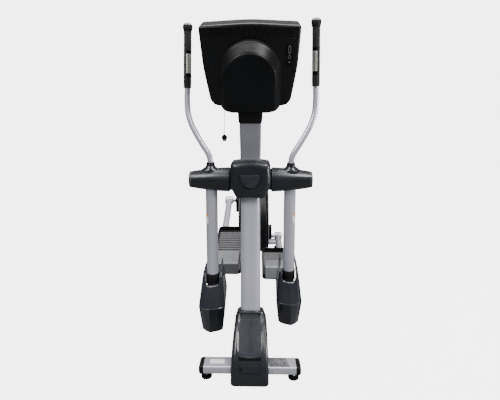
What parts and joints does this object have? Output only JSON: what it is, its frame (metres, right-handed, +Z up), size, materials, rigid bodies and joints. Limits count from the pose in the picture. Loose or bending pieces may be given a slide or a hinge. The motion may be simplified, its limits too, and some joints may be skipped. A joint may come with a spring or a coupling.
{
  "type": "elliptical trainer",
  "caption": "Standing elliptical trainer: central mast with console, swing arms with boots, pedal beams running back to a rear crank and flywheel housing.",
  "frame": {"origin": "on the floor, at the middle of the machine's length and width", "axes": "+Z up; -Y is the front end with the mast and the back of the console; +X is the user's left"},
  "size_m": [0.7208, 1.916, 1.7522],
  "materials": {
    "silver_paint": "satin silver-lavender powder coat",
    "grey_paint": "satin mid-grey paint",
    "charcoal_plastic": "semi-gloss moulded charcoal plastic",
    "black_plastic": "matt black moulded plastic",
    "black_rubber": "matt black rubber or foam",
    "bright_steel": "bright turned steel",
    "cast_iron": "machined cast iron",
    "silver_plastic": "silver moulded plastic",
    "display_glass": "dark tinted window",
    "key_plastic": "pale moulded keys"
  },
  "bodies": {
    "frame": {"base_beam": "silver_paint", "blank_badge": "charcoal_plastic", "connector_panel": "black_plastic", "console_back_shell": "black_plastic", "console_front_bezel": "black_plastic", "cord_gland": "black_rubber", "cross_bar": "bright_steel", "cross_bar_front_cover": "charcoal_plastic", "cross_bar_rear_cover": "charcoal_plastic", "display_window": "display_glass", "dock_cord": "black_rubber", "dock_plug": "black_plastic", "dome_cover": "black_plastic", "drive_belt": "black_rubber", "drive_bracket": "grey_paint", "foot_cover": "charcoal_plastic", "front_left_foot": "black_rubber", "front_right_foot": "black_rubber", "front_stabiliser": "silver_paint", "keypad_panel": "black_plastic", "left_crank_bearing": "bright_steel", "left_housing": "black_plastic", "mast": "silver_paint", "neck": "grey_paint", "rear_left_foot": "black_rubber", "rear_right_foot": "black_rubber", "rear_stabiliser": "silver_paint", "right_crank_bearing": "bright_steel", "right_housing": "black_plastic"},
    "right_arm": {"right_cone_sleeve": "charcoal_plastic", "right_handle_tube": "silver_paint", "right_grip": "black_rubber", "right_pulse_sensor": "bright_steel", "right_arm_collar": "black_rubber", "right_lower_arm": "silver_paint", "right_boot": "charcoal_plastic"},
    "left_arm": {"left_cone_sleeve": "charcoal_plastic", "left_handle_tube": "silver_paint", "left_grip": "black_rubber", "left_pulse_sensor": "bright_steel", "left_arm_collar": "black_rubber", "left_lower_arm": "silver_paint", "left_boot": "charcoal_plastic"},
    "right_beam": {"right_pedal_beam": "silver_paint", "right_footplate": "black_plastic", "right_toe_block": "silver_plastic"},
    "left_beam": {"left_pedal_beam": "silver_paint", "left_footplate": "black_plastic", "left_toe_block": "silver_plastic"},
    "crankset": {"crank_axle": "bright_steel", "crank_pulley": "black_plastic", "right_crank_disc": "black_plastic", "left_crank_disc": "black_plastic", "right_crank_arm": "bright_steel", "left_crank_arm": "bright_steel"},
    "flywheel": {"flywheel": "cast_iron"},
    "idler": {"idler_pulley": "black_plastic"},
    "start_key": {"start_key": "key_plastic"},
    "level_down_key": {"level_down_key": "key_plastic"},
    "level_up_key": {"level_up_key": "key_plastic"}
  },
  "joints": [
    {"name": "right_arm_swing", "type": "hinge", "parent": "frame", "child": "right_arm", "pos_m": [0, -0.6725, 0.924], "axis": [1, 0, 0], "range_deg": [-10.5, 15.5]},
    {"name": "left_arm_swing", "type": "hinge", "parent": "frame", "child": "left_arm", "pos_m": [0, -0.6725, 0.924], "axis": [1, 0, 0], "range_deg": [-15.5, 10.5]},
    {"name": "right_beam_pivot", "type": "hinge", "parent": "right_arm", "child": "right_beam", "pos_m": [0, -0.63556, 0.20094], "axis": [1, 0, 0], "range_deg": [-15.5, 10.5]},
    {"name": "left_beam_pivot", "type": "hinge", "parent": "left_arm", "child": "left_beam", "pos_m": [0, -0.5709, 0.20716], "axis": [1, 0, 0], "range_deg": [-10.5, 15.5]},
    {"name": "crank_turn", "type": "hinge", "parent": "frame", "child": "crankset", "pos_m": [0, 0.5575, 0.38], "axis": [1, 0, 0], "continuous": true},
    {"name": "flywheel_turn", "type": "hinge", "parent": "frame", "child": "flywheel", "pos_m": [0, 0.7775, 0.275], "axis": [1, 0, 0], "continuous": true},
    {"name": "idler_turn", "type": "hinge", "parent": "frame", "child": "idler", "pos_m": [0, 0.70598, 0.22376], "axis": [1, 0, 0], "continuous": true},
    {"name": "start_key_press", "type": "slide", "parent": "frame", "child": "start_key", "axis": [0, -0.9239, -0.3827], "range_m": [0, 0.0012], "stiffness_N_per_m": 400, "springref_m": -0.001},
    {"name": "level_down_key_press", "type": "slide", "parent": "frame", "child": "level_down_key", "axis": [0, -0.9239, -0.3827], "range_m": [0, 0.0012], "stiffness_N_per_m": 400, "springref_m": -0.001},
    {"name": "level_up_key_press", "type": "slide", "parent": "frame", "child": "level_up_key", "axis": [0, -0.9239, -0.3827], "range_m": [0, 0.0012], "stiffness_N_per_m": 400, "springref_m": -0.001}
  ],
  "couplings": [
    {"joint": "left_arm_swing", "follows": "right_arm_swing", "ratio": -1},
    {"joint": "right_beam_pivot", "follows": "right_arm_swing", "ratio": -1},
    {"joint": "left_beam_pivot", "follows": "right_arm_swing", "ratio": 1},
    {"joint": "flywheel_turn", "follows": "crank_turn", "ratio": 8},
    {"joint": "idler_turn", "follows": "crank_turn", "ratio": -8.4444}
  ]
}
